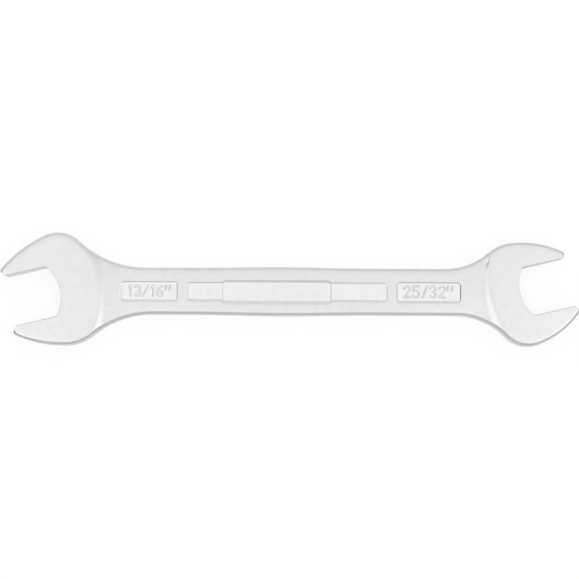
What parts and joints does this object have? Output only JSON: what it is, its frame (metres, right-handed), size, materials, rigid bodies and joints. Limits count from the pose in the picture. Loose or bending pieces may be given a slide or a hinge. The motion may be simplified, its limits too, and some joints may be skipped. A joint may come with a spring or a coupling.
{
  "type": "open end wrench",
  "caption": "Flat forged wrench with an open jaw at each end, the larger one at the left, both jaws turned from the shank, and recessed panels on the shank.",
  "frame": {"origin": "middle of the wrench's box, on the plane that its lower faces rest on", "axes": "+X along the shank towards the smaller jaw, +Z out of the marked upper face, +Y across the shank towards the larger head's heel"},
  "size_m": [0.2352, 0.0456, 0.008],
  "materials": {
    "satin_chrome": "satin chrome plate on forged steel, fine grained"
  },
  "bodies": {
    "root": {"wrench_forging": "satin_chrome"}
  },
  "joints": []
}
